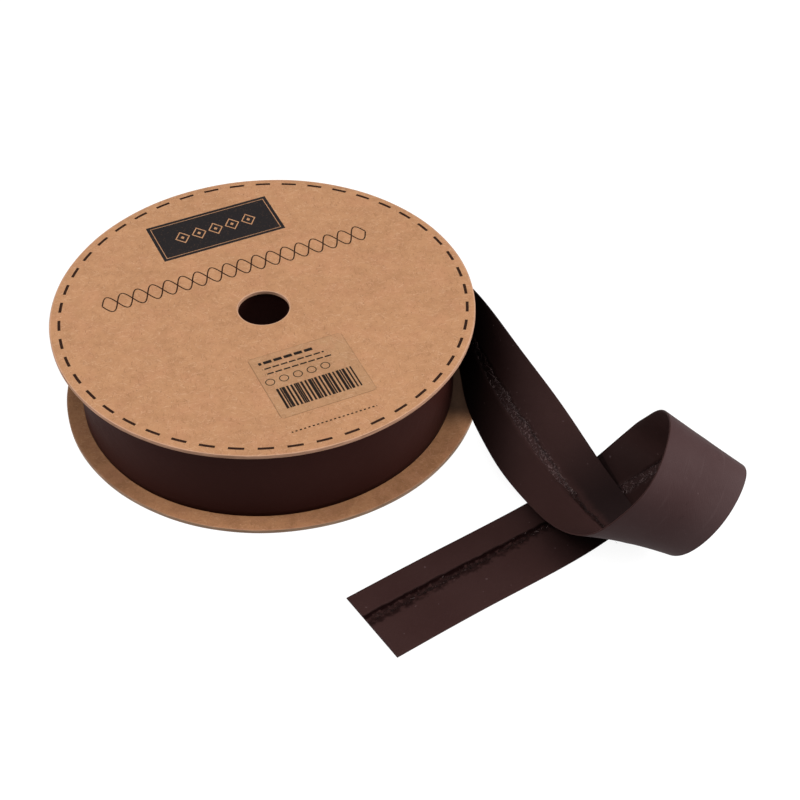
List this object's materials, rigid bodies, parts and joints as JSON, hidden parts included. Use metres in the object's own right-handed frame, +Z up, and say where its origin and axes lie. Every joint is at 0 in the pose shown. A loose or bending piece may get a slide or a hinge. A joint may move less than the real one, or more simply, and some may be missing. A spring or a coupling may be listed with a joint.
{
  "type": "roll of bias binding on a card reel",
  "caption": "Roll of folded bias binding wound between two round kraft boards, with its loose end looped beside it.",
  "frame": {"origin": "middle of the whole part's box, on the surface that it lies on", "axes": "+Z up along the reel's axis, +X along the part's length towards the loop, +Y away from the cut end"},
  "size_m": [0.1942, 0.166, 0.0413],
  "materials": {
    "kraft_board": "uncoated brown kraft board with fine flecks and thin dark print",
    "bias_cloth": "dark brown woven bias strip, soft satin sheen",
    "clear_film": "thin satin film that shows the board through it, with plain dark bars"
  },
  "bodies": {
    "root": {"disc_bottom": "kraft_board", "disc_top": "kraft_board", "roll": "bias_cloth", "tail": "bias_cloth", "sticker": "clear_film"}
  },
  "joints": []
}
